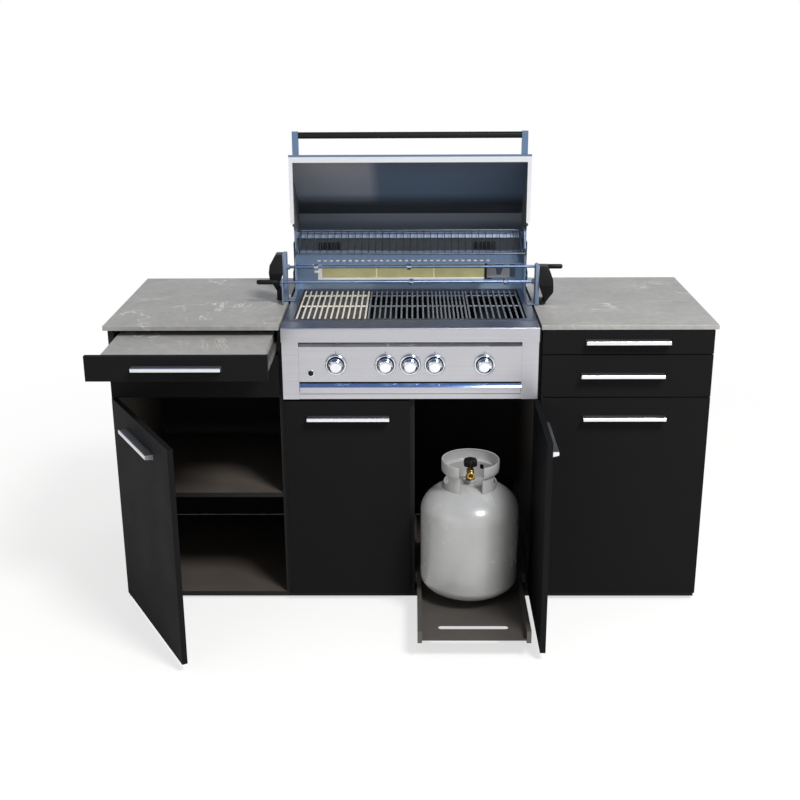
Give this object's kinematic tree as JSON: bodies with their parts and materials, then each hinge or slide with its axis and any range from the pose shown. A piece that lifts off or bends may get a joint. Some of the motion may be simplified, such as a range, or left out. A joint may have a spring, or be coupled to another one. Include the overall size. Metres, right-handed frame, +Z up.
{
  "type": "outdoor kitchen island",
  "caption": "Outdoor kitchen island with a built-in hooded gas grill, stone worktops, drawers, doors, a pull-out board and a gas bottle on a sliding tray.",
  "frame": {"origin": "on the ground under the middle of the whole object as stored, with its doors, hood, pull-out and gas tray open", "axes": "+X to the right along the front, +Y to the back, +Z up"},
  "size_m": [1.8, 1.124, 1.4102],
  "materials": {
    "front_laminate": "matt black laminated board",
    "carcass_laminate": "matt dark board",
    "stone": "honed warm grey stone with pale veins",
    "pull_aluminium": "satin anodised",
    "grey_sheet": "grey coated sheet",
    "enamel": "glossy off-white",
    "brass": "satin",
    "black_plastic": "satin black",
    "steel": "brushed stainless",
    "rod_steel": "polished rod",
    "knob_chrome": "bright chrome"
  },
  "bodies": {
    "island": {"side_left": "carcass_laminate", "side_right": "carcass_laminate", "partition_left": "carcass_laminate", "partition_right": "carcass_laminate", "divider": "carcass_laminate", "base_left": "carcass_laminate", "base_bay": "carcass_laminate", "base_right": "carcass_laminate", "back_sheet": "carcass_laminate", "shelf_left": "carcass_laminate", "slab_left": "stone", "slab_right": "stone", "grill_fascia": "steel", "control_panel": "steel", "grill_body": "steel", "grate_left": "rod_steel", "grate_middle": "rod_steel", "grate_right": "rod_steel", "burner_set": "steel", "rear_housing": "steel", "rear_burner": "steel", "warming_rack": "rod_steel", "motor_front": "black_plastic", "motor_rear": "black_plastic"},
    "hood": {"hood": "steel", "hood_handle": "black_plastic"},
    "left_door": {"left_door": "front_laminate", "left_door_pull": "pull_aluminium"},
    "right_door": {"right_door": "front_laminate", "right_door_pull": "pull_aluminium"},
    "bay_door_left": {"bay_door_left": "front_laminate", "bay_door_left_pull": "pull_aluminium"},
    "bay_door_right": {"bay_door_right": "front_laminate", "bay_door_right_pull": "pull_aluminium"},
    "pullout": {"pullout_front": "front_laminate", "pullout_pull": "pull_aluminium", "pullout_frame": "grey_sheet", "pullout_board": "stone"},
    "left_drawer": {"left_drawer_front": "front_laminate", "left_drawer_pull": "pull_aluminium", "left_drawer_box": "grey_sheet"},
    "right_drawer_top": {"right_drawer_top_front": "front_laminate", "right_drawer_top_pull": "pull_aluminium", "right_drawer_top_box": "grey_sheet"},
    "right_drawer_low": {"right_drawer_low_front": "front_laminate", "right_drawer_low_pull": "pull_aluminium", "right_drawer_low_box": "grey_sheet"},
    "gas_tray": {"gas_tray": "grey_sheet", "gas_bottle": "enamel", "gas_valve": "brass"},
    "gas_handwheel": {"gas_handwheel": "black_plastic"},
    "drip_tray": {"drip_tray": "steel"},
    "spit_front": {"spit_front": "rod_steel"},
    "spit_rear": {"spit_rear": "rod_steel"},
    "ignition_button": {"ignition_button": "black_plastic"},
    "knob_1": {"knob_1": "knob_chrome"},
    "knob_2": {"knob_2": "knob_chrome"},
    "knob_3": {"knob_3": "knob_chrome"},
    "knob_4": {"knob_4": "knob_chrome"},
    "knob_5": {"knob_5": "knob_chrome"}
  },
  "joints": [
    {"name": "hood_hinge", "type": "hinge", "parent": "island", "child": "hood", "pos_m": [0, 0.29951, 0.9475], "axis": [-1, 0, 0], "range_deg": [-90, 0]},
    {"name": "left_door_hinge", "type": "hinge", "parent": "island", "child": "left_door", "pos_m": [-0.886, -0.12848, 0.35], "axis": [0, 0, -1], "range_deg": [-60, 45]},
    {"name": "right_door_hinge", "type": "hinge", "parent": "island", "child": "right_door", "pos_m": [0.3915, -0.12848, 0.35], "axis": [0, 0, -1], "range_deg": [0, 55]},
    {"name": "bay_door_left_hinge", "type": "hinge", "parent": "island", "child": "bay_door_left", "pos_m": [-0.37525, -0.12323, 0.345], "axis": [0, 0, -1], "range_deg": [0, 100]},
    {"name": "bay_door_right_hinge", "type": "hinge", "parent": "island", "child": "bay_door_right", "pos_m": [0.37525, -0.12323, 0.345], "axis": [0, 0, 1], "range_deg": [0, 8]},
    {"name": "pullout_slide", "type": "slide", "parent": "island", "child": "pullout", "axis": [0, -1, 0], "range_m": [-0.258, 0.15]},
    {"name": "left_drawer_slide", "type": "slide", "parent": "island", "child": "left_drawer", "axis": [0, -1, 0], "range_m": [0, 0.4]},
    {"name": "right_drawer_top_slide", "type": "slide", "parent": "island", "child": "right_drawer_top", "axis": [0, -1, 0], "range_m": [0, 0.4]},
    {"name": "right_drawer_low_slide", "type": "slide", "parent": "island", "child": "right_drawer_low", "axis": [0, -1, 0], "range_m": [0, 0.4]},
    {"name": "gas_tray_slide", "type": "slide", "parent": "island", "child": "gas_tray", "axis": [0, -1, 0], "range_m": [-0.37, 0.04]},
    {"name": "gas_handwheel_turn", "type": "hinge", "parent": "gas_tray", "child": "gas_handwheel", "pos_m": [0.179, -0.18599, 0.49], "axis": [0, 0, 1], "range_deg": [0, 540]},
    {"name": "drip_tray_slide", "type": "slide", "parent": "island", "child": "drip_tray", "axis": [0, -1, 0], "range_m": [0, 0.35]},
    {"name": "spit_front_turn", "type": "hinge", "parent": "island", "child": "spit_front", "pos_m": [0, 0.12901, 0.966], "axis": [1, 0, 0], "continuous": true},
    {"name": "spit_rear_turn", "type": "hinge", "parent": "island", "child": "spit_rear", "pos_m": [0, 0.18302, 1.002], "axis": [1, 0, 0], "continuous": true},
    {"name": "ignition_button_press", "type": "slide", "parent": "island", "child": "ignition_button", "axis": [0, 1, 0], "range_m": [0, 0.004], "stiffness_N_per_m": 500},
    {"name": "knob_1_turn", "type": "hinge", "parent": "island", "child": "knob_1", "pos_m": [-0.2183, -0.13898, 0.7795], "axis": [0, -1, 0], "range_deg": [0, 120]},
    {"name": "knob_2_turn", "type": "hinge", "parent": "island", "child": "knob_2", "pos_m": [-0.0725, -0.13898, 0.7795], "axis": [0, -1, 0], "range_deg": [0, 120]},
    {"name": "knob_3_turn", "type": "hinge", "parent": "island", "child": "knob_3", "pos_m": [0, -0.13898, 0.7795], "axis": [0, -1, 0], "range_deg": [0, 120]},
    {"name": "knob_4_turn", "type": "hinge", "parent": "island", "child": "knob_4", "pos_m": [0.0725, -0.13898, 0.7795], "axis": [0, -1, 0], "range_deg": [0, 120]},
    {"name": "knob_5_turn", "type": "hinge", "parent": "island", "child": "knob_5", "pos_m": [0.2183, -0.13898, 0.7795], "axis": [0, -1, 0], "range_deg": [0, 120]}
  ]
}
